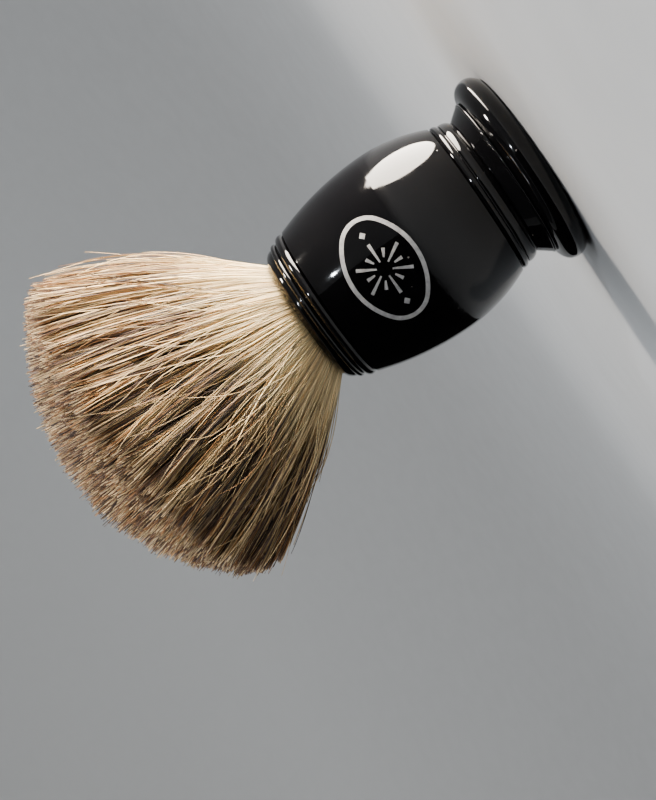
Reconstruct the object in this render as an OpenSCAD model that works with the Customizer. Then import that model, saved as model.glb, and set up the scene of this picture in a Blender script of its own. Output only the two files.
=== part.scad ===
// Shaving brush: a turned, glossy black handle on a round foot, weighted inside,
// with a domed fan of animal hair set in a socket at its top.
// Z is the brush's own axis. The origin is the centre of the foot's flat underside,
// and the hair points up.

/* [Foot] */
// Radius over the foot's rounded rim
foot_r = 18.1; // [17:0.1:20]
// Thickness of the foot, whose rim is a full half round
foot_h = 5.2; // [4.6:0.1:6]
// Radius of the spigot that plugs the foot into the handle
spigot_r = 8; // [6:0.5:9]
// Height of the spigot above the foot
spigot_h = 4; // [3:0.5:5]

/* [Handle] */
// Height of the handle's mouth above the table
mouth_z = 47.5; // [47:0.1:49]
// Radius of the barrel at its widest
barrel_r = 17.7; // [17:0.1:19]
// Height of the barrel's widest point
belly_z = 25.2; // [24:0.1:26]
// Radius of the barrel's curve below the belly
lower_curve_r = 31; // [30:1:36]
// Radius of the barrel's curve above the belly
upper_curve_r = 54; // [50:1:60]
// Radius of the turned step that stands on the foot
step_r = 15.25; // [14.8:0.05:15.6]
// Radius of the neck, the thinnest part of the handle
neck_r = 13.3; // [12.8:0.1:13.6]
// Radius of the handle's outer edge at the mouth
lip_r = 12.3; // [12.1:0.05:12.6]

/* [Socket and weight] */
// Radius of the socket that takes the knot
socket_r = 11.2; // [11:0.05:11.4]
// Depth of the socket
socket_depth = 14; // [12:0.5:15]
// Length of the steel weight
ballast_h = 20; // [12:1:20]
// Gap round the weight and round the foot's spigot
bore_gap = 0.05; // [0.02:0.01:0.1]

/* [Knot] */
// Thickness of the glue round the knot's plug
glue_t = 0.6; // [0.4:0.1:0.8]
// Height of the cast plug that holds the hair ends
plug_h = 7; // [6:0.5:8]
// Radius of the binding thread
thread_r = 0.3; // [0.2:0.05:0.35]
// Number of turns of the binding thread
thread_turns = 4; // [2:1:4]

/* [Hair] */
// Height of the tip of the hair above the table
tip_z = 97.6; // [96:0.2:100]
// Radius of the dome that the hair tips form
dome_r = 41; // [39:0.5:43]
// Radius of the fan at the edge of its dome
fan_r = 33.4; // [32:0.1:34]
// Height of the point that the hair bends about
bend_z = 56; // [55.5:0.5:56.5]
// Radius of the round end that turns in the root hair
ball_r = 13.3; // [13.2:0.05:13.4]
// Gap between the hair that bends and the root hair
bend_gap = 0.3; // [0.2:0.05:0.35]

/* [Printed emblem] */
// Width of the emblem round the barrel
emblem_w = 18.8; // [14:0.2:22]
// Height of the emblem along the barrel
emblem_h = 12.8; // [10:0.2:15]
// Height of the emblem's centre above the table
emblem_z = 30.9; // [29:0.1:33]
// Radius of the oval frame's two ends
oval_end_r = 4.7; // [4.4:0.1:5.4]
// Width of the oval frame's line
emblem_line = 0.72; // [0.5:0.02:1]
// Thickness of the ink
ink_t = 0.05; // [0.03:0.01:0.1]
// Number of rays in the emblem
ray_count = 12; // [6:2:16]

/* [Hidden] */
$fn = 96;

// Turned rings of the handle, from the foot up. Each bead has its height, the radius of its
// round and the radius that it reaches, and each core is the plain cylinder between beads.
overlap = 0.1;
step_edge_r = 0.35;
step_edge_z = foot_h + step_edge_r;
neck_z = foot_h + 2.85;
low_bead_round = 2.2;
low_bead_r = neck_r + 0.85;
low_bead_z = neck_z + 1.85;
low_bead_core_r = neck_r - 0.3;
low_groove_z = neck_z + 2.35;
ring_bead_round = 0.85;
ring_bead_r = neck_r + 1.25;
ring_bead_z = low_groove_z + 0.8;
ring_core_r = neck_r + 0.5;
barrel_low_z = low_groove_z + 1.6;
barrel_high_z = mouth_z - 5.05;
high_bead_round = 1;
high_bead_r = lip_r + 2.45;
high_bead_z = barrel_high_z + 1.05;
high_core_r = lip_r + 1.7;
mouth_bead_round = 0.6;
mouth_bead_r = lip_r + 1.7;
mouth_bead_z = high_bead_z + 1.75;
mouth_core_r = lip_r + 1.2;
lip_low_z = mouth_bead_z + 0.5;
lip_low_r = lip_r + 1.1;
lip_core_r = lip_r + 1;
lip_round = ((lip_low_r - lip_r) ^ 2 + (mouth_z - lip_low_z) ^ 2) / (2 * (lip_low_r - lip_r));
lip_skirt = 0.3;
groove_round = 0.22;

// Socket and weight
socket_floor_z = mouth_z - socket_depth;
bore_top_z = foot_h + spigot_h + ballast_h;

// Knot, from the socket floor up
plug_r = socket_r - glue_t;
plug_low_z = socket_floor_z + glue_t;
plug_top_z = plug_low_z + plug_h;
root_r = socket_r - 0.1;
waist_depth = 0.5;
waist_r = root_r - 2 * thread_r - waist_depth;
waist_h = 2 * thread_r * thread_turns;

// Oval frame of four arcs: the side arcs run into the end arcs with no corner
oval_end_x = emblem_w / 2 - oval_end_r;
oval_side_r = (oval_end_x ^ 2 + (emblem_h / 2) ^ 2 - oval_end_r ^ 2) / (emblem_h - 2 * oval_end_r);
oval_side_y = oval_side_r - emblem_h / 2;
oval_join = oval_end_x / (oval_side_r - oval_end_r);

// Emblem: long and short rays in turn, and a diamond on each side of them
long_ray = [1.3, 3.4];
short_ray = [1.9, 1.5];
ray_narrow = 0.28;
ray_wide = 0.6;
diamond_x = 6.4;
diamond_side = 0.9;

// Hair
dome_z = tip_z - dome_r;
flare_low_z = bend_z - 3.6;
flare_mid_z = bend_z + 3;
fan_edge_z = dome_z + sqrt(dome_r * dome_r - fan_r * fan_r);
flare_low_r = ball_r - 0.4;
flare_mid_r = fan_r * 0.6;
fan_edge_h = 1.5;

// A straight-sided ring in the half plane that rotate_extrude turns
module band(r, low, high) {
    translate([0, low]) square([r, high - low]);
}

// A bead whose outermost point is at radius r
module bead(r, z, round_r) {
    translate([r - round_r, z]) circle(round_r);
}

// Barrel outline, two arcs that meet at the belly; grow moves it outwards
module barrel_outline(grow = 0) {
    intersection() {
        band(barrel_r + grow, barrel_low_z, belly_z);
        translate([barrel_r - lower_curve_r, belly_z]) circle(lower_curve_r + grow, $fn = 360);
    }
    intersection() {
        band(barrel_r + grow, belly_z, barrel_high_z);
        translate([barrel_r - upper_curve_r, belly_z]) circle(upper_curve_r + grow, $fn = 360);
    }
}

// Step with a rounded lower edge, rising as a cone to the neck
module step_outline() {
    polygon([
        [0, foot_h], [step_r - step_edge_r, foot_h], [step_r - step_edge_r, step_edge_z],
        [step_r, step_edge_z], [neck_r, neck_z], [0, neck_z]
    ]);
    bead(step_r, step_edge_z, step_edge_r);
}

// Half round bead between the neck and the ring bead
module low_bead_outline() {
    intersection() {
        bead(low_bead_r, low_bead_z, low_bead_round);
        band(barrel_r, neck_z - 2 * overlap, low_groove_z);
    }
    band(low_bead_core_r, neck_z - overlap, low_groove_z);
}

// Lip: a convex round that runs from the mouth bead up to the flat mouth
module lip_outline() {
    intersection() {
        bead(lip_low_r, lip_low_z, lip_round);
        band(lip_low_r, lip_low_z - lip_skirt, mouth_z);
    }
    band(lip_low_r - lip_round, lip_low_z - lip_skirt, mouth_z);
}

module handle_outline() {
    difference() {
        union() {
            step_outline();
            low_bead_outline();
            band(ring_core_r, low_groove_z - overlap, barrel_low_z + overlap);
            bead(ring_bead_r, ring_bead_z, ring_bead_round);
            barrel_outline();
            band(high_core_r, barrel_high_z - overlap, high_bead_z);
            bead(high_bead_r, high_bead_z, high_bead_round);
            band(mouth_core_r, high_bead_z, mouth_bead_z);
            bead(mouth_bead_r, mouth_bead_z, mouth_bead_round);
            band(lip_core_r, mouth_bead_z, lip_low_z);
            lip_outline();
        }
        translate([low_bead_r, low_groove_z]) circle(groove_round);
    }
}

module handle_body() {
    color("#0b0b0d") difference() {
        rotate_extrude() handle_outline();
        translate([0, 0, socket_floor_z]) cylinder(r = socket_r, h = socket_depth + 1);
        translate([0, 0, foot_h - 1]) cylinder(r = spigot_r + bore_gap, h = bore_top_z - foot_h + 1);
    }
}

module foot() {
    rim_r = foot_h / 2;
    color("#0b0b0d") {
        rotate_extrude() {
            band(foot_r - rim_r, 0, foot_h);
            bead(foot_r, rim_r, rim_r);
        }
        translate([0, 0, foot_h]) cylinder(r = spigot_r, h = spigot_h);
    }
}

module ballast() {
    color("#8c8f94") translate([0, 0, foot_h + spigot_h]) cylinder(r = spigot_r, h = ballast_h);
}

// Oval, wider than it is high; inset moves its outline inwards
module emblem_oval(inset = 0) {
    end_r = oval_end_r - inset;
    for (side = [-1, 1]) translate([side * oval_end_x, 0]) circle(end_r);
    intersection() {
        translate([0, oval_side_y]) circle(oval_side_r - inset);
        translate([0, -oval_side_y]) circle(oval_side_r - inset);
        square([2 * (oval_end_x + end_r * oval_join), emblem_h], center = true);
    }
}

// A ray that widens outwards; size is where it starts and how long it is
module emblem_ray(size) {
    translate([size[0], 0]) polygon([
        [0, -ray_narrow / 2], [size[1], -ray_wide / 2],
        [size[1], ray_wide / 2], [0, ray_narrow / 2]
    ]);
}

module emblem_drawing() {
    difference() {
        emblem_oval();
        emblem_oval(emblem_line);
    }
    for (i = [0 : ray_count - 1])
        rotate(i * 360 / ray_count) emblem_ray(i % 2 == 0 ? long_ray : short_ray);
    for (side = [-1, 1])
        translate([side * diamond_x, 0]) rotate(45) square(diamond_side, center = true);
}

// The drawing is cut out of a skin of ink that follows the barrel
module emblem_print() {
    color("#b9b8b4") intersection() {
        difference() {
            rotate_extrude() barrel_outline(ink_t);
            rotate_extrude() barrel_outline();
        }
        translate([0, 0, emblem_z]) rotate([90, 0, 0]) linear_extrude(barrel_r + 2) emblem_drawing();
    }
}

module glue_bed() {
    color("#d8c9a0") translate([0, 0, socket_floor_z]) difference() {
        cylinder(r = socket_r, h = glue_t + plug_h);
        translate([0, 0, glue_t]) cylinder(r = plug_r, h = plug_h + 1);
    }
}

module knot_plug() {
    color("#3a2c20") translate([0, 0, plug_low_z]) cylinder(r = plug_r, h = plug_h);
}

// Turns of thread side by side round the waist of the root hair
module binding_thread() {
    color("#e6e1d2") for (i = [0 : thread_turns - 1])
        translate([0, 0, plug_top_z + thread_r * (2 * i + 1)])
            rotate_extrude() translate([waist_r + thread_r, 0]) circle(thread_r, $fn = 32);
}

// Hair inside the socket: tied at the waist, then opening into a round hollow
module hair_roots() {
    color("#d9c6a3") difference() {
        rotate_extrude() {
            band(waist_r, plug_top_z, plug_top_z + waist_h);
            band(root_r, plug_top_z + waist_h, mouth_z);
        }
        translate([0, 0, bend_z]) sphere(ball_r + bend_gap);
    }
}

// Free hair: a round end in the mouth, then the fan up to its domed tips
module hair_tuft() {
    color("#9c8467") rotate_extrude() {
        intersection() {
            translate([0, bend_z]) circle(ball_r);
            band(ball_r, bend_z - ball_r, bend_z);
        }
        intersection() {
            translate([0, dome_z]) circle(dome_r, $fn = 360);
            polygon([
                [0, flare_low_z], [flare_low_r, flare_low_z], [flare_mid_r, flare_mid_z],
                [fan_r, fan_edge_z - fan_edge_h], [fan_r, tip_z], [0, tip_z]
            ]);
        }
    }
}

handle_body();
foot();
ballast();
emblem_print();
glue_bed();
knot_plug();
binding_thread();
hair_roots();
hair_tuft();
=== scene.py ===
"""Shaving brush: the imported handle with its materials, and hair made strand by strand."""

import math

import bpy
import numpy as np
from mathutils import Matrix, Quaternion, Vector


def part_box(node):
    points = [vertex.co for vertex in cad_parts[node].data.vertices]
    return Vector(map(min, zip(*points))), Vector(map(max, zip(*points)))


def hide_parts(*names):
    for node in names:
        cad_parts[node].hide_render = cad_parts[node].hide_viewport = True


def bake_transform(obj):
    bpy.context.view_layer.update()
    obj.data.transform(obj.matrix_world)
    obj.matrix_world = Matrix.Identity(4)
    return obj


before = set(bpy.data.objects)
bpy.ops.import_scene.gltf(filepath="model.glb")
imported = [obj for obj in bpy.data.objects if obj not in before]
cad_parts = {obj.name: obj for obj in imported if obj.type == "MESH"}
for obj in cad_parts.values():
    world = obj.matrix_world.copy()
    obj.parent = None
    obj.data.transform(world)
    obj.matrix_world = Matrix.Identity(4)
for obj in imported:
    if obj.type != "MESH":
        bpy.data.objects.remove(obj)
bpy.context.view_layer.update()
rng = np.random.default_rng(41)
MM = 0.001

# Heights of the handle's mouth and of the top of the hair, from the frame
MOUTH_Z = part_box("handle_body")[1].z
TIP_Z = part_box("hair_tuft")[1].z
# Height of the barrel's widest ring, which most lights are aimed at
BELLY_Z = 25.2 * MM

# Radius of the ring of roots at the mouth
ROOT_RADIUS = 10.9 * MM
# How far below the mouth the hair starts, and its radius there as a share of ROOT_RADIUS
ROOT_DEPTH = 2.5 * MM
ROOT_PINCH = 0.97
# The dome that the tips end on: its radius, and its centre's height above the mouth
DOME_RADIUS = 41.0 * MM
DOME_RISE = TIP_Z - DOME_RADIUS - MOUTH_Z
# How far the dome's edge stands out on its +X side
DOME_LEAN = 1.15 * MM
# Angle of the fan's side from the brush's axis, and how much smaller it is at +X
EDGE_ANGLE = math.radians(44.5)
EDGE_LEAN = math.radians(1.6)
# How strongly the fan's side bows outwards, and how much more at +X
BOW = math.radians(8.4)
BOW_LEAN = math.radians(0.6)
# The core under the hair, dark with painted shade: its share of the fan's width, and where its lid lies along
# the hair
CORE_DEPTH = 0.83
CORE_TOP = 0.945

# Colour columns on the strands' own map, and the share of them that each kind of hair has
COLUMNS = 64
BLOND = (0.0, 0.3)
BANDED = (0.3, 0.75)
GOLDEN = (0.75, 0.9)
DARK = (0.9, 1.0)
KINDS = (BLOND, BANDED, GOLDEN, DARK)
# Colour of each kind at its root, in its middle and at its tip
ROOT_COLOURS = ((0.90, 0.70, 0.37), (0.80, 0.60, 0.31), (0.76, 0.52, 0.24), (0.54, 0.39, 0.22))
MIDDLE_COLOURS = ((0.76, 0.53, 0.26), (0.092, 0.055, 0.038), (0.44, 0.22, 0.080), (0.032, 0.021, 0.018))
TIP_COLOURS = ((0.80, 0.56, 0.29), (0.165, 0.084, 0.042), (0.50, 0.235, 0.080), (0.036, 0.021, 0.018))
# The hair's map has the name that an export bakes on, so a bake keeps this layout instead of making its own
STRAND_MAP = "OFBake"

# Tints of the lights
WARM = (1.0, 0.90, 0.77)
SOFT_WARM = (1.0, 0.93, 0.84)
COOL = (0.88, 0.94, 1.0)
SOFT_COOL = (0.92, 0.96, 1.0)


def add_mesh(mesh, material):
    """An object for a finished mesh, with the mesh's name and one material."""
    mesh.materials.append(material)
    made = bpy.data.objects.new(mesh.name, mesh)
    bpy.context.scene.collection.objects.link(made)
    return made


# ---------------------------------------------------------------- camera

def make_camera():
    """The photograph's view: a little above the table, rolled so that the brush lies across the picture."""
    distance, height = 0.2263, 0.0237
    azimuth, roll = math.radians(2.3), math.radians(124.6)
    # Where the camera aims: to the side of the brush's axis, and above the table
    aim_side, aim_height = -0.01405, 0.0530
    away = Vector((math.sin(azimuth), -math.cos(azimuth), 0))
    across = Vector((math.cos(azimuth), math.sin(azimuth), 0))
    data = bpy.data.cameras.new("camera")
    data.lens = 57.8
    # The camera is closer to the brush than Blender's usual near limit
    data.clip_start = 0.01
    camera = bpy.data.objects.new("camera", data)
    bpy.context.scene.collection.objects.link(camera)
    camera.location = away * distance + Vector((0, 0, height))
    aim = across * aim_side + Vector((0, 0, aim_height))
    level = (aim - camera.location).to_track_quat("-Z", "Y")
    camera.rotation_mode = "QUATERNION"
    camera.rotation_quaternion = level @ Quaternion((0, 0, 1), -roll)
    bpy.context.scene.camera = camera


# ---------------------------------------------------------------- material helpers

class Shader:
    """A Principled material with short calls for the nodes behind it."""

    def __init__(self, name, roughness=0.5, **sockets):
        self.material = bpy.data.materials.new(name)
        self.material.use_nodes = True
        self.tree = self.material.node_tree
        self.principled = self.tree.nodes["Principled BSDF"]
        self.principled.inputs["Roughness"].default_value = roughness
        for socket, value in sockets.items():
            self.principled.inputs[socket.replace("_", " ")].default_value = value

    def node(self, kind, inputs=None, **settings):
        made = self.tree.nodes.new("ShaderNode" + kind)
        for key, value in settings.items():
            setattr(made, key, value)
        for socket, value in (inputs or {}).items():
            self.feed(made.inputs[socket], value)
        return made

    def feed(self, socket, value):
        if isinstance(value, bpy.types.NodeSocket):
            self.tree.links.new(value, socket)
        else:
            socket.default_value = value

    def math(self, operation, a, b=0.0):
        return self.node("Math", {0: a, 1: b}, operation=operation).outputs[0]

    def remap(self, value, low, high, to_low, to_high, smooth=False):
        made = self.node(
            "MapRange",
            {"Value": value, "From Min": low, "From Max": high, "To Min": to_low, "To Max": to_high},
            interpolation_type="SMOOTHSTEP" if smooth else "LINEAR",
        )
        return made.outputs["Result"]

    def ramp(self, value, stops, interpolation="LINEAR"):
        made = self.node("ValToRGB", {"Fac": value})
        made.color_ramp.interpolation = interpolation
        while len(made.color_ramp.elements) < len(stops):
            made.color_ramp.elements.new(1.0)
        for element, (place, colour) in zip(made.color_ramp.elements, stops):
            element.position = place
            element.color = (*colour, 1)
        return made.outputs["Color"]

    def mix(self, factor, a, b, blend="MIX"):
        made = self.node("Mix", data_type="RGBA", blend_type=blend)
        self.feed(made.inputs["Factor"], factor)
        self.feed(made.inputs["A"], a if isinstance(a, bpy.types.NodeSocket) else (*a, 1))
        self.feed(made.inputs["B"], b if isinstance(b, bpy.types.NodeSocket) else (*b, 1))
        return made.outputs["Result"]

    def place(self, scale=(1, 1, 1)):
        """Object coordinates, stretched."""
        source = self.node("TexCoord").outputs["Object"]
        return self.node("Mapping", {"Vector": source, "Scale": scale}).outputs["Vector"]

    def noise(self, scale, vector=None, detail=3.0, roughness=0.5, distortion=0.0):
        return self.node("TexNoise", {
            "Vector": vector or self.place(), "Scale": scale, "Detail": detail,
            "Roughness": roughness, "Distortion": distortion,
        }).outputs["Fac"]

    def bump(self, height, strength, distance):
        made = self.node("Bump", {"Height": height, "Strength": strength, "Distance": distance})
        self.feed(self.principled.inputs["Normal"], made.outputs["Normal"])

    def colour(self, value):
        self.feed(self.principled.inputs["Base Color"], value)

    def roughness(self, value):
        self.feed(self.principled.inputs["Roughness"], value)


# ---------------------------------------------------------------- materials of the CAD nodes

def black_resin():
    """Polished black resin: a mirror gloss with faint smears, turning marks and a few specks of dust."""
    s = Shader("black_resin", IOR=1.5, Specular_IOR_Level=0.32)
    # Colour, with dust where a small cell and a rare patch meet
    depth = s.noise(90, detail=2)
    plain = s.mix(depth, (0.0012, 0.0011, 0.0014), (0.0026, 0.0024, 0.0027))
    specks = s.node("TexVoronoi", {"Vector": s.place(), "Scale": 420.0, "Randomness": 1.0})
    speck = s.math("LESS_THAN", specks.outputs["Distance"], 0.055)
    rare = s.math("GREATER_THAN", s.noise(150, detail=0), 0.66)
    dust = s.math("MULTIPLY", speck, rare)
    s.colour(s.mix(dust, plain, (0.22, 0.20, 0.18)))
    # Polish, dulled a little by smears and by the dust
    smears = s.noise(55, s.place((1, 1, 2.6)), detail=4, roughness=0.62, distortion=0.6)
    polish = s.remap(smears, 0.42, 0.72, 0.035, 0.12)
    s.roughness(s.math("ADD", polish, s.math("MULTIPLY", dust, 0.4)))
    # Fine turning marks round the axis, over the slow waves of a hand-polished surface
    rings = s.noise(5200, s.place((0.012, 0.012, 1)), detail=2)
    waves = s.math("ADD", s.noise(130, detail=1), s.math("MULTIPLY", s.noise(480, detail=2), 0.2))
    height = s.math("ADD", s.math("MULTIPLY", rings, 0.02), waves)
    s.bump(height, 0.12, 0.00035)
    return s.material


def grey_ink():
    """Pad-printed ink: satin, with a slightly uneven edge to edge cover."""
    s = Shader("grey_ink")
    cover = s.noise(900, detail=4, roughness=0.7)
    s.colour(s.mix(s.remap(cover, 0.35, 0.62, 0.0, 1.0), (0.27, 0.265, 0.265), (0.45, 0.44, 0.43)))
    s.roughness(s.remap(cover, 0.3, 0.7, 0.28, 0.5))
    s.bump(cover, 0.2, 0.00004)
    return s.material


def turned_steel():
    """Steel with turning marks round its axis."""
    s = Shader("turned_steel", Metallic=1.0)
    rings = s.noise(3000, s.place((0.03, 0.03, 1)), detail=3)
    s.colour(s.mix(rings, (0.36, 0.37, 0.39), (0.52, 0.53, 0.55)))
    s.roughness(s.remap(rings, 0.3, 0.7, 0.25, 0.45))
    s.bump(rings, 0.3, 0.00005)
    return s.material


def cured_glue():
    """Cloudy amber glue."""
    s = Shader("cured_glue")
    cloud = s.noise(220, detail=3)
    s.colour(s.mix(cloud, (0.62, 0.50, 0.28), (0.72, 0.62, 0.40)))
    s.roughness(s.remap(cloud, 0.3, 0.7, 0.25, 0.5))
    s.bump(cloud, 0.3, 0.0002)
    return s.material


def cast_plug():
    """Dark cast resin with a fine grain."""
    s = Shader("cast_plug")
    grain = s.noise(600, detail=5)
    s.colour(s.mix(grain, (0.03, 0.02, 0.015), (0.075, 0.05, 0.035)))
    s.roughness(s.remap(grain, 0.3, 0.7, 0.45, 0.7))
    s.bump(grain, 0.4, 0.0001)
    return s.material


def twisted_thread():
    """Cotton thread with its twist running round the knot."""
    s = Shader("twisted_thread", roughness=0.8, Sheen_Weight=0.3)
    twist = s.node("TexWave", {"Vector": s.place((1, 1, 1.6)), "Scale": 600.0, "Distortion": 1.2})
    lay = twist.outputs["Fac"]
    s.colour(s.mix(lay, (0.58, 0.53, 0.40), (0.80, 0.76, 0.64)))
    s.roughness(s.remap(lay, 0, 1, 0.85, 0.7))
    s.bump(lay, 0.6, 0.0001)
    return s.material


def dress_cad_nodes():
    """Gives each CAD node that stays its material."""
    resin = black_resin()
    looks = {
        "handle_body": resin,
        "foot": resin,
        "emblem_print": grey_ink(),
        "ballast": turned_steel(),
        "glue_bed": cured_glue(),
        "knot_plug": cast_plug(),
        "binding_thread": twisted_thread(),
    }
    for node, material in looks.items():
        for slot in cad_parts[node].material_slots:
            slot.link = "OBJECT"
            slot.material = material


# ---------------------------------------------------------------- hair material

def strand_material():
    """Colour by kind of hair across the strands' map, and from root to tip along it."""
    s = Shader("hair", roughness=0.5, Specular_IOR_Level=0.35)
    at = s.node("SeparateXYZ", {0: s.node("UVMap", uv_map=STRAND_MAP).outputs["UV"]})
    across, along = at.outputs["X"], at.outputs["Y"]
    # Two random numbers for each column: one shifts its bands, the other its tip and its brightness
    column = s.math("FLOOR", s.math("MULTIPLY", across, float(COLUMNS)))
    random = s.node("TexWhiteNoise", {"W": column}, noise_dimensions="1D")
    shift = s.math("SUBTRACT", random.outputs["Value"], 0.5)
    other = s.node("TexWhiteNoise", {"W": s.math("ADD", column, 91.7)}, noise_dimensions="1D")
    kinds = [kind[0] for kind in KINDS]
    root = s.ramp(across, list(zip(kinds, ROOT_COLOURS)), "CONSTANT")
    middle = s.ramp(across, list(zip(kinds, MIDDLE_COLOURS)), "CONSTANT")
    tip = s.ramp(across, list(zip(kinds, TIP_COLOURS)), "CONSTANT")
    # Each column changes from root to middle and from middle to tip at its own place along the hair
    start = s.math("ADD", 0.36, s.math("MULTIPLY", shift, 0.30))
    into_middle = s.math("SUBTRACT", along, start)
    lower = s.mix(s.remap(into_middle, -0.10, 0.14, 0.0, 1.0, smooth=True), root, middle)
    into_tip = s.math("SUBTRACT", along, s.remap(other.outputs["Value"], 0, 1, 0.84, 0.99))
    whole = s.mix(s.remap(into_tip, -0.07, 0.06, 0.0, 1.0, smooth=True), lower, tip)
    # Brightness varies from column to column, and in streaks along each
    streak = s.noise(1.0, s.node("CombineXYZ", {
        "X": s.math("MULTIPLY", column, 7.3), "Y": s.math("MULTIPLY", along, 9.0),
    }).outputs[0], detail=3)
    light = s.math("MULTIPLY", s.remap(other.outputs["Value"], 0, 1, 0.5, 1.4),
                   s.remap(streak, 0.3, 0.7, 0.82, 1.14))
    shade = s.node("CombineColor", {0: light, 1: light, 2: light}).outputs[0]
    s.colour(s.mix(1.0, whole, shade, "MULTIPLY"))
    s.roughness(s.remap(streak, 0.3, 0.7, 0.38, 0.58))
    s.bump(streak, 0.15, 0.00003)
    return s.material


def core_material():
    """The deep hair between the strands, darker than the hair itself with painted shade: near-black streaks
    of painted shade along its side, and hair ends on its lid with painted shade between them.
    """
    s = Shader("deep_hair", roughness=0.8, Specular_IOR_Level=0.2)
    uv = s.node("UVMap", uv_map=STRAND_MAP).outputs["UV"]
    streaks = s.noise(1.0, s.node("Mapping", {"Vector": uv, "Scale": (420, 5, 1)}).outputs[0], detail=4)
    along = s.node("SeparateXYZ", {0: uv}).outputs["Y"]
    # From light at the root to dark above: partly the hair's own darker middle, and partly painted shade
    # inside the knot, darker than the hair all along
    base = s.ramp(along, [(0.0, (0.42, 0.33, 0.20)), (0.3, (0.25, 0.18, 0.11)),
                          (0.55, (0.055, 0.038, 0.028)), (1.0, (0.05, 0.034, 0.024))])
    # Near-black streaks along the side are painted shade, as between locks
    side = s.mix(s.remap(streaks, 0.35, 0.65, 0.0, 0.75), base, (0.012, 0.009, 0.007))
    # Each cell of this pattern is the cut end of a hair
    ends = s.node("TexVoronoi", {"Vector": s.place(), "Scale": 2300.0})
    shade = s.node("SeparateColor", {0: ends.outputs["Color"]}).outputs[0]
    tuft = s.ramp(shade, [(0.0, (0.030, 0.019, 0.013)), (0.5, (0.085, 0.050, 0.030)),
                          (1.0, (0.30, 0.19, 0.105))])
    # Painted shade between the hair ends
    gap_shade = s.remap(ends.outputs["Distance"], 0.25, 0.75, 0.0, 0.8)
    # The map's height is 1 on the lid, and no more than CORE_TOP on the side
    on_lid = s.math("GREATER_THAN", along, 0.97)
    s.colour(s.mix(on_lid, side, s.mix(gap_shade, tuft, (0.018, 0.012, 0.009))))
    s.roughness(s.remap(streaks, 0.3, 0.7, 0.7, 0.9))
    s.bump(streaks, 0.8, 0.0006)
    return s.material


# ---------------------------------------------------------------- hair shape

def fan_point(q, phi, v):
    """Where a hair is: q is 0 in the middle of the knot and 1 at its edge, phi its direction,
    and v runs from 0 at the mouth to 1 at the tip."""
    side = np.cos(phi)
    theta = q * (EDGE_ANGLE - EDGE_LEAN * side)
    reach = DOME_RISE * np.cos(theta) + np.sqrt(DOME_RADIUS**2 - (DOME_RISE * np.sin(theta)) ** 2)
    reach = reach + DOME_LEAN * side * q**3
    tip_r, tip_h = reach * np.sin(theta), reach * np.cos(theta)
    root_r = ROOT_RADIUS * np.minimum(q, 1.0)
    chord = np.hypot(tip_r - root_r, tip_h)
    slope = np.arctan2(tip_r - root_r, tip_h)
    # A cubic curve from root to tip, whose ends turn away from the chord by the bow
    bow = q**2 * (BOW + BOW_LEAN * side)
    h00, h10 = 2 * v**3 - 3 * v**2 + 1, v**3 - 2 * v**2 + v
    h01, h11 = -2 * v**3 + 3 * v**2, v**3 - v**2
    r = h00 * root_r + h10 * chord * np.sin(slope + bow) + h01 * tip_r + h11 * chord * np.sin(slope - bow)
    h = h10 * chord * np.cos(slope + bow) + h01 * tip_h + h11 * chord * np.cos(slope - bow)
    return np.stack([r * np.cos(phi), r * np.sin(phi), MOUTH_Z + h], -1)


def bell(v, peak, end):
    """Rises smoothly from 0 to 1 at v = peak, then falls to end at v = 1."""
    up = np.clip(v / peak, 0, 1)
    down = np.clip((v - peak) / (1 - peak), 0, 1)
    return up * up * (3 - 2 * up) * (1 - (1 - end) * down * down)


class Locks:
    """Locks of hair side by side round one layer of the fan. Each has its own direction, sideways drift,
    depth in the fan, rise out of it towards the tip, length and tone."""

    def __init__(self, count, depth):
        step = 2 * math.pi / count
        self.phi = np.sort(np.arange(count) * step + rng.uniform(-0.38, 0.38, count) * step)
        self.drift = rng.normal(0, 0.065, count)
        self.q = depth + rng.normal(0, 0.022, count)
        self.proud = rng.normal(0, 0.020, count)
        self.length = rng.normal(0, 0.006, count)
        self.tone = rng.normal(0, 0.95, count)

    def nearest(self, phi):
        """The lock that each hair at phi belongs to. The edges between locks are a little ragged."""
        gap = (phi[:, None] - self.phi[None] + math.pi) % (2 * math.pi) - math.pi
        return np.abs(gap + rng.normal(0, 0.012, gap.shape)).argmin(1)


def choose_kind(tone, blond, banded, golden):
    """A colour column for each hair, from the shares of three kinds; the rest are dark.
    A higher tone makes a lighter hair more likely."""
    lean = 1 / (1 + np.exp(-tone))
    weights = np.stack([
        blond * (0.35 + 1.3 * lean), banded * (1.4 - 0.8 * lean),
        np.full_like(tone, golden), (1 - blond - banded - golden) * (1.9 - 1.8 * lean),
    ], 1)
    weights /= weights.sum(1, keepdims=True)
    pick = (rng.random(len(tone))[:, None] > np.cumsum(weights, 1)).sum(1).clip(0, 3)
    low = np.array([k[0] for k in KINDS])[pick] * COLUMNS
    high = np.array([k[1] for k in KINDS])[pick] * COLUMNS
    return np.minimum(np.floor(low + rng.random(len(tone)) * (high - low)), COLUMNS - 1)


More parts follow.
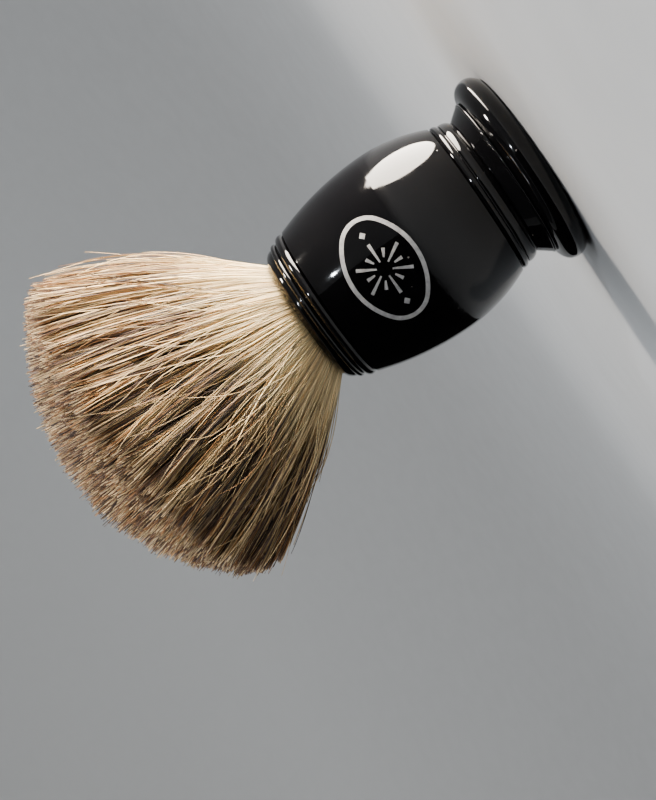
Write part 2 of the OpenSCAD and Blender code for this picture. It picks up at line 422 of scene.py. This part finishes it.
def strand_mesh(name, paths, radii, along, columns, material):
    """One mesh of closed three-sided hairs: paths is (hairs, rings, 3), radii and along (hairs, rings)."""
    hairs, rings = paths.shape[:2]
    tangent = np.gradient(paths, axis=1)
    tangent /= np.linalg.norm(tangent, axis=2, keepdims=True)
    side = rng.normal(size=(hairs, 1, 3))
    first = np.cross(tangent, side)
    first /= np.linalg.norm(first, axis=2, keepdims=True)
    second = np.cross(tangent, first)
    corners = []
    for k in range(3):
        turn = 2 * math.pi * k / 3
        corners.append(paths + radii[..., None] * (math.cos(turn) * first + math.sin(turn) * second))
    points = np.stack(corners, 2).reshape(-1, 3)
    index = np.arange(hairs * rings * 3).reshape(hairs, rings, 3)
    here, after = index[:, :-1], index[:, 1:]
    quads = np.stack([here, np.roll(here, -1, 2), np.roll(after, -1, 2), after], -1).reshape(-1, 4)
    roots, tips = index[:, 0, ::-1].reshape(-1, 3), index[:, -1].reshape(-1, 3)
    mesh = bpy.data.meshes.new(name)
    mesh.vertices.add(len(points))
    mesh.vertices.foreach_set("co", points.astype(np.float32).ravel())
    loops = np.concatenate([quads.ravel(), roots.ravel(), tips.ravel()])
    mesh.loops.add(len(loops))
    mesh.loops.foreach_set("vertex_index", loops.astype(np.int32))
    sizes = np.concatenate([np.full(len(quads), 4), np.full(2 * hairs, 3)])
    mesh.polygons.add(len(sizes))
    mesh.polygons.foreach_set("loop_start", np.concatenate([[0], np.cumsum(sizes)[:-1]]).astype(np.int32))
    mesh.polygons.foreach_set("use_smooth", np.ones(len(sizes), bool))
    mesh.update(calc_edges=True)
    # A hair's three faces lie side by side in the middle of its colour column
    face = np.arange(3)[None, None, :, None] + np.array([0, 1, 1, 0])
    u = (columns[:, None, None, None] + 0.2 + 0.2 * face) / COLUMNS
    u = np.broadcast_to(u, (hairs, rings - 1, 3, 4))
    v = np.stack([along[:, :-1], along[:, :-1], along[:, 1:], along[:, 1:]], -1)[:, :, None, :]
    v = np.broadcast_to(v, (hairs, rings - 1, 3, 4))
    middle = np.repeat((columns + 0.5) / COLUMNS, 3)
    uv = np.concatenate([
        np.stack([u, v], -1).reshape(-1, 2),
        np.stack([middle, np.repeat(along[:, 0], 3)], 1),
        np.stack([middle, np.repeat(along[:, -1], 3)], 1),
    ])
    mesh.uv_layers.new(name=STRAND_MAP).data.foreach_set("uv", uv.astype(np.float32).ravel())
    return add_mesh(mesh, material)


def in_quarters(name, phi, paths, radii, along, columns, material):
    """The hairs of one layer as four pieces, one for each quarter turn."""
    quarter = np.floor((phi + math.pi) / (2 * math.pi) * 4).clip(0, 3)
    made = []
    for part in range(4):
        chosen = quarter == part
        made.append(strand_mesh(f"{name}_{part + 1}", paths[chosen], radii[chosen],
                                along[chosen].clip(0, 1), columns[chosen], material))
    return made


def rooted(paths, drawn):
    """Hairs with one more ring, inside the mouth of the handle."""
    below = paths[:, :1] * np.array([ROOT_PINCH, ROOT_PINCH, 1.0]) - np.array([0, 0, ROOT_DEPTH])
    return np.concatenate([below, paths], 1), np.concatenate([np.zeros((len(drawn), 1)), drawn], 1)


def hair_paths(q, phi, locks, lock, v, pull, wave):
    """Centre lines of hairs that start at (q, phi) and gather into their locks, most of all at 70 percent
    of their length."""
    gather = pull[:, None] * bell(v, 0.70, 0.5)[None]
    q_lock, phi_lock = locks.q[lock], locks.phi[lock]
    turn = (phi_lock - phi + math.pi) % (2 * math.pi) - math.pi
    phi_v = phi[:, None] + gather * turn[:, None] + locks.drift[lock][:, None] * v[None] ** 2
    q_v = q[:, None] + gather * (q_lock - q)[:, None] + (locks.proud[lock][:, None]) * v[None]
    # Each hair waves in and out, and sideways
    phase = rng.random((2, len(q), 1)) * 2 * math.pi
    rate = rng.uniform(0.5, 1.5, (2, len(q), 1)) * 2 * math.pi
    q_v = q_v + wave[:, None] * v * np.sin(rate[0] * v + phase[0])
    phi_v = phi_v + wave[:, None] * v * np.sin(rate[1] * v + phase[1])
    return q_v, phi_v


def cut_lengths(of_lock):
    """Hair lengths as shares of the full length: most reach the dome, and one in four falls short of it."""
    count = len(of_lock)
    short = rng.exponential(0.07, count) * (rng.random(count) < 0.25)
    return 1 + of_lock + rng.normal(0, 0.009, count) - rng.exponential(0.010, count) - short


def tube_radii(v_drawn, thick):
    """Hair radius along its length: slender at the root, full in the middle, drawn out at the tip."""
    full_from, fine_from = 0.3, 0.86
    root = 0.75 + 0.25 * np.clip(v_drawn / full_from, 0, 1)
    tip = 1 - 0.3 * np.clip((v_drawn - fine_from) / (1 - fine_from), 0, 1) ** 1.6
    return thick[:, None] * root * tip


def ride_on_hair(piece):
    """Puts the piece's placement into its mesh and hides the CAD node of the hair's body."""
    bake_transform(piece)
    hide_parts("hair_tuft")


def outer_hair(material):
    """Full-length hairs on the side of the fan, in layers of locks."""
    rings = 11
    v = np.linspace(0, 1, rings)
    # Locks, depth and hairs of each layer, from the outside in
    layers = ((58, 0.985, 2600), (50, 0.93, 2500), (44, 0.86, 2200))
    made = []
    for number, (count, depth, hairs) in enumerate(layers, 1):
        locks = Locks(count, depth)
        q = depth + rng.normal(0, 0.018, hairs)
        phi = rng.uniform(-math.pi, math.pi, hairs)
        lock = locks.nearest(phi)
        # How far each hair gathers into its lock, and how much it waves
        pull = rng.beta(2.2, 1.1, hairs)
        wave = np.abs(rng.normal(0, 0.010, hairs))
        length = cut_lengths(locks.length[lock])
        q_v, phi_v = hair_paths(q, phi, locks, lock, v, pull, wave)
        drawn = v[None] * length[:, None]
        paths, drawn = rooted(fan_point(q_v, phi_v, drawn), drawn)
        # Radii, most of them near the slender end
        thick = (0.062 + 0.088 * rng.beta(1.2, 2.4, hairs)) * MM
        radii = tube_radii(np.concatenate([[0], v])[None] * np.ones((hairs, 1)), thick)
        columns = choose_kind(locks.tone[lock] * 0.9 + rng.normal(0, 0.4, hairs),
                              blond=0.39, banded=0.37, golden=0.14)
        made += in_quarters(f"hair_layer{number}", phi, paths, radii, drawn, columns, material)
    return made


def tip_hair(material):
    """Hairs of the middle of the knot, from below the dome to their tips."""
    rings, hairs, locks = 4, 15000, 420
    v = np.linspace(0.72, 1, rings)
    # The square root spreads hairs and locks evenly over the knot
    q = np.sqrt(rng.random(hairs)) * 0.97
    phi = rng.uniform(-math.pi, math.pi, hairs)
    centre_q = np.sqrt(rng.random(locks)) * 0.95
    centre_phi = rng.uniform(-math.pi, math.pi, locks)
    flat = np.stack([q * np.cos(phi), q * np.sin(phi)], 1)
    centres = np.stack([centre_q * np.cos(centre_phi), centre_q * np.sin(centre_phi)], 1)
    # Each hair leans towards the middle of its nearest lock
    lock = ((flat[:, None] - centres[None]) ** 2).sum(2).argmin(1)
    pull = rng.uniform(0.05, 0.35, hairs)
    gathered = flat + pull[:, None] * (centres[lock] - flat)
    tone = rng.normal(0, 1.3, locks)[lock]
    lock_length = rng.normal(0, 0.005, locks)[lock]
    length = cut_lengths(lock_length)
    share = ((v - v[0]) / (1 - v[0]))[None, :, None]
    place = flat[:, None] * (1 - share) + gathered[:, None] * share
    place = place + rng.normal(0, 0.005, (hairs, 1, 2)) * share
    q_v, phi_v = np.hypot(place[..., 0], place[..., 1]), np.arctan2(place[..., 1], place[..., 0])
    drawn = v[None] * length[:, None]
    paths = fan_point(q_v, phi_v, drawn)
    thick = (0.062 + 0.070 * rng.beta(1.2, 2.0, hairs)) * MM
    radii = tube_radii(v[None] * np.ones((hairs, 1)), thick)
    columns = choose_kind(tone + rng.normal(0, 1.2, hairs), blond=0.36, banded=0.36, golden=0.15)
    return in_quarters("hair_tips", phi, paths, radii, drawn, columns, material)


def stray_hair(material):
    """Single hairs that cross the fan, stand off its side or reach past its tips."""
    rings, hairs = 18, 270
    v = np.linspace(0, 1, rings)
    q = rng.uniform(0.97, 1.02, hairs)
    phi = rng.uniform(-math.pi, math.pi, hairs)
    # How far each turns round the fan, stands off it and curls
    sweep = rng.normal(0, 0.24, hairs)
    lift = np.abs(rng.normal(0, 0.045, hairs))
    curl = rng.normal(0, 0.055, hairs)
    # One in eight reaches past the dome
    length = np.where(rng.random(hairs) < 0.12,
                      rng.uniform(1.02, 1.10, hairs), rng.uniform(0.55, 1.0, hairs))
    rate = rng.uniform(0.6, 1.4, (hairs, 1)) * 2 * math.pi
    phase = rng.random((hairs, 1)) * 2 * math.pi
    phi_v = phi[:, None] + sweep[:, None] * v**1.6 + curl[:, None] * v * np.sin(rate * v + phase)
    q_v = q[:, None] + lift[:, None] * v + np.abs(curl)[:, None] * 0.6 * np.sin(math.pi * v)
    drawn = v[None] * length[:, None]
    paths, drawn = rooted(fan_point(q_v, phi_v, drawn), drawn)
    thick = rng.uniform(0.060, 0.100, hairs) * MM
    radii = tube_radii(np.concatenate([[0], v])[None] * np.ones((hairs, 1)), thick)
    columns = choose_kind(np.full(hairs, 1.6), blond=0.62, banded=0.18, golden=0.15)
    return [strand_mesh("hair_strays", paths, radii, drawn.clip(0, 1), columns, material)]


def hair_core(material):
    """The deep hair under the strands: a closed fan with ridges that run along it."""
    columns, rings, lids = 360, 40, 14
    phi = np.arange(columns) / columns * 2 * math.pi
    v = np.linspace(0, CORE_TOP, rings)
    # Uneven ridges: wave counts round the fan that never line up
    ridge = 0.02 * np.sin(phi * 61 + 2 * np.sin(phi * 7)) + 0.012 * np.sin(phi * 97)
    depth = CORE_DEPTH + ridge
    side = fan_point(depth[None] * np.ones((rings, 1)), phi[None] * np.ones((rings, 1)), v[:, None])
    shrink = np.linspace(1, 0, lids + 1)[1:-1]
    lid = fan_point(shrink[:, None] * depth[None], phi[None] * np.ones((lids - 1, 1)), CORE_TOP)
    below = side[:1] * np.array([ROOT_PINCH, ROOT_PINCH, 1]) - np.array([0, 0, ROOT_DEPTH])
    grid = np.concatenate([below, side, lid])
    rows = len(grid)
    top = np.array([[0, 0, fan_point(np.zeros(1), np.zeros(1), CORE_TOP)[0, 2]]])
    bottom = np.array([[0, 0, MOUTH_Z - ROOT_DEPTH]])
    points = np.concatenate([grid.reshape(-1, 3), top, bottom])
    index = np.arange(rows * columns).reshape(rows, columns)
    turned = np.roll(index, -1, 1)
    faces = np.stack([index[:-1], turned[:-1], turned[1:], index[1:]], -1).reshape(-1, 4).tolist()
    faces += [[a, b, rows * columns] for a, b in zip(index[-1], turned[-1])]
    faces += [[b, a, rows * columns + 1] for a, b in zip(index[0], turned[0])]
    mesh = bpy.data.meshes.new("hair_core")
    mesh.from_pydata(points.tolist(), [], [[int(i) for i in face] for face in faces])
    mesh.polygons.foreach_set("use_smooth", np.ones(len(mesh.polygons), bool))
    row_height = np.concatenate([[0], v, np.full(lids - 1, 1.0)])
    height = np.concatenate([np.repeat(row_height, columns), [1.0, 0.0]])
    angle = np.concatenate([np.tile(phi / (2 * math.pi), rows), [0.0, 0.0]])
    layer = mesh.uv_layers.new(name=STRAND_MAP)
    corner = np.zeros(len(mesh.loops), np.int32)
    mesh.loops.foreach_get("vertex_index", corner)
    layer.data.foreach_set("uv", np.stack([angle[corner], height[corner]], 1).astype(np.float32).ravel())
    made = add_mesh(mesh, material)
    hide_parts("hair_roots")
    return [made]


def make_hair():
    """All the hair, from the outer layers in, with the CAD node of the hair's body hidden."""
    strands = strand_material()
    pieces = outer_hair(strands) + tip_hair(strands) + stray_hair(strands) + hair_core(core_material())
    for piece in pieces:
        ride_on_hair(piece)


# ---------------------------------------------------------------- stage

def make_stage():
    """A pale floor that curves up into a pale wall all round."""
    s = Shader("studio_paper", roughness=0.9, Specular_IOR_Level=0.2)
    fibre = s.noise(60, detail=4)
    floor_grey, wall_grey, wall_from = (0.46, 0.46, 0.46), (0.66, 0.66, 0.655), 0.5
    height = s.node("SeparateXYZ", {0: s.place()}).outputs["Z"]
    paper = s.mix(s.remap(height, 0.0, wall_from, 0.0, 1.0), floor_grey, wall_grey)
    s.colour(s.mix(s.remap(fibre, 0.3, 0.7, 0.0, 0.08), paper, (0.8, 0.8, 0.8)))
    s.roughness(s.remap(fibre, 0.3, 0.7, 0.85, 0.95))
    # Radius of the flat floor, radius of the bend up from it, height of the wall, and faces round it
    flat, bend, wall, sectors = 0.6, 0.9, 1.9, 96
    profile = [(flat * k / 4, 0.0) for k in range(1, 5)]
    profile += [(flat + bend * math.sin(t), bend * (1 - math.cos(t)))
                for t in np.linspace(0, math.pi / 2, 14)[1:]]
    profile.append((flat + bend, wall))
    points = [(0, 0, 0)]
    for r, z in profile:
        for k in range(sectors):
            turn = 2 * math.pi * k / sectors
            points.append((r * math.cos(turn), r * math.sin(turn), z))
    faces = [(0, 1 + k, 1 + (k + 1) % sectors) for k in range(sectors)]
    for row in range(len(profile) - 1):
        a, b = 1 + row * sectors, 1 + (row + 1) * sectors
        faces += [(a + k, b + k, b + (k + 1) % sectors, a + (k + 1) % sectors) for k in range(sectors)]
    mesh = bpy.data.meshes.new("studio")
    mesh.from_pydata(points, [], faces)
    mesh.polygons.foreach_set("use_smooth", np.ones(len(mesh.polygons), bool))
    made = add_mesh(mesh, s.material)


def make_light(name, size, power, place, aim, tint):
    """A one-sided oval light of the given size in metres and power in watts, which the camera doesn't see."""
    data = bpy.data.lights.new(name, "AREA")
    data.shape = "ELLIPSE"
    data.size, data.size_y = size
    data.energy = power
    data.color = tint
    made = bpy.data.objects.new(name, data)
    bpy.context.scene.collection.objects.link(made)
    made.location = place
    made.rotation_mode = "QUATERNION"
    made.rotation_quaternion = (Vector(place) - Vector(aim)).to_track_quat("Z", "Y")
    made.visible_camera = False


def around(azimuth, elevation, distance, height=BELLY_Z):
    """A point round the brush. Azimuth 0 is on the camera's side and 90 is at +X."""
    a, e = math.radians(azimuth), math.radians(elevation)
    reach = distance * math.cos(e)
    return (reach * math.sin(a), -reach * math.cos(a), height + distance * math.sin(e))


def make_flag():
    """A curved black card behind the camera, which keeps the handle's reflections black."""
    s = Shader("flag_felt", roughness=1.0, Specular_IOR_Level=0.0)
    s.colour(s.mix(s.noise(40), (0.004, 0.004, 0.004), (0.007, 0.007, 0.007)))
    # Azimuths that the card stands between, its distance from the brush's axis, and its lower and upper edge
    low, high, reach = math.radians(-150), math.radians(20), 0.45
    edges, steps = (0.008, 0.45), 40
    points = []
    for k in range(steps + 1):
        turn = low + (high - low) * k / steps
        for z in edges:
            points.append((reach * math.sin(turn), -reach * math.cos(turn), z))
    faces = [(2 * k, 2 * k + 1, 2 * k + 3, 2 * k + 2) for k in range(steps)]
    mesh = bpy.data.meshes.new("flag")
    mesh.from_pydata(points, [], faces)
    made = add_mesh(mesh, s.material)
    made.visible_camera = False
    made.visible_shadow = False


def make_lights():
    """A long key card beside the brush, a lamp, a rim and a tip light, a soft top light and wall washes."""
    belly = (0, 0, BELLY_Z)
    make_light("key", (0.058, 0.20), 2.2, (0.126, -0.004, 0.0185), (0.0862, -0.004, 0.2754), WARM)
    make_light("lamp", (0.024, 0.024), 1.0, around(29, 31, 0.6), belly, COOL)
    make_light("rim", (0.4, 0.4), 0.9, around(185, 40, 0.8), belly, SOFT_COOL)
    make_light("tips", (0.07, 0.07), 4.2, around(84, 37, 0.6), (0, 0, 0.08), SOFT_WARM)
    make_light("top", (1.3, 1.3), 0.9, (0, 0.2, 1.7), (0, 0.2, 0), COOL)
    for number, azimuth in enumerate((180, 252, 324, 36, 108), 1):
        place, aim = around(azimuth, 0, 0.1, 0.9), around(azimuth, 0, 1.2, 0.2)
        make_light(f"wall_{number}", (0.5, 0.3), 2.6, place, aim, COOL)
    world = bpy.data.worlds.new("world")
    world.use_nodes = True
    background = world.node_tree.nodes["Background"]
    background.inputs["Color"].default_value = (0.78, 0.80, 0.84, 1)
    background.inputs["Strength"].default_value = 0.08
    bpy.context.scene.world = world


make_camera()
dress_cad_nodes()
make_hair()
make_stage()
make_flag()
make_lights()
